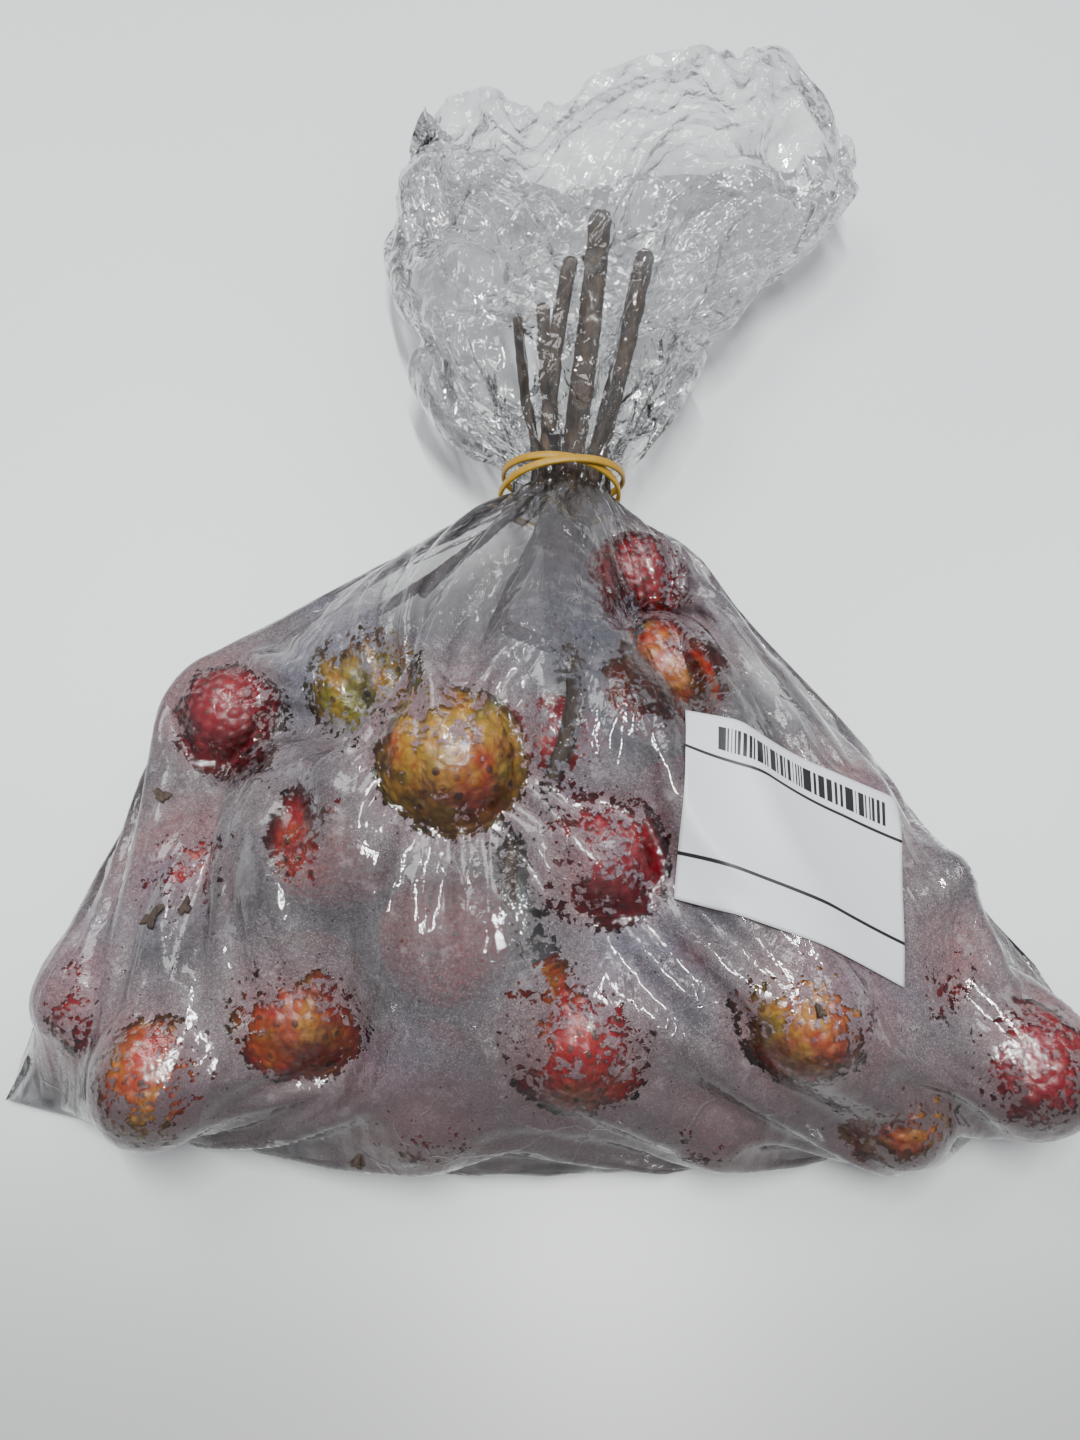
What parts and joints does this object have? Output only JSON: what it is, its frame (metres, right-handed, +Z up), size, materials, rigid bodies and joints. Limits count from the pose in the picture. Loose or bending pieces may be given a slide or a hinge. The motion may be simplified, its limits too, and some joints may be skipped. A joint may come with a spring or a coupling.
{
  "type": "bunch of lychees",
  "caption": "Lychees on cut stalks lying in a clear plastic bag, its neck tied with a rubber band wound twice, with a plain white sticker on top.",
  "frame": {"origin": "middle of the object's outline, on the surface that it lies on", "axes": "+Z up; +Y along the bag from its sealed end to its tied neck and open mouth; +X to the right when looking along +Y"},
  "size_m": [0.2852, 0.4042, 0.074],
  "materials": {
    "skin": "rough, cobbled rind, red with orange and yellow-green patches",
    "stalk": "dull brown bark",
    "film": "clear, glossy, fogged inside",
    "band": "matt, yellow ochre",
    "sticker": "semi-matt white"
  },
  "bodies": {
    "root": {"fruit_01": "skin", "fruit_02": "skin", "fruit_03": "skin", "fruit_04": "skin", "fruit_05": "skin", "fruit_06": "skin", "fruit_07": "skin", "fruit_08": "skin", "fruit_09": "skin", "fruit_10": "skin", "fruit_11": "skin", "fruit_12": "skin", "fruit_13": "skin", "fruit_14": "skin", "fruit_15": "skin", "fruit_16": "skin", "fruit_17": "skin", "fruit_18": "skin", "fruit_19": "skin", "fruit_20": "skin", "fruit_21": "skin", "fruit_22": "skin", "fruit_23": "skin", "stem_1": "stalk", "stem_2": "stalk", "stem_3": "stalk", "stem_4": "stalk", "stem_5": "stalk", "twig": "stalk", "bag": "film", "rubber_band": "band", "label": "sticker"}
  },
  "joints": []
}
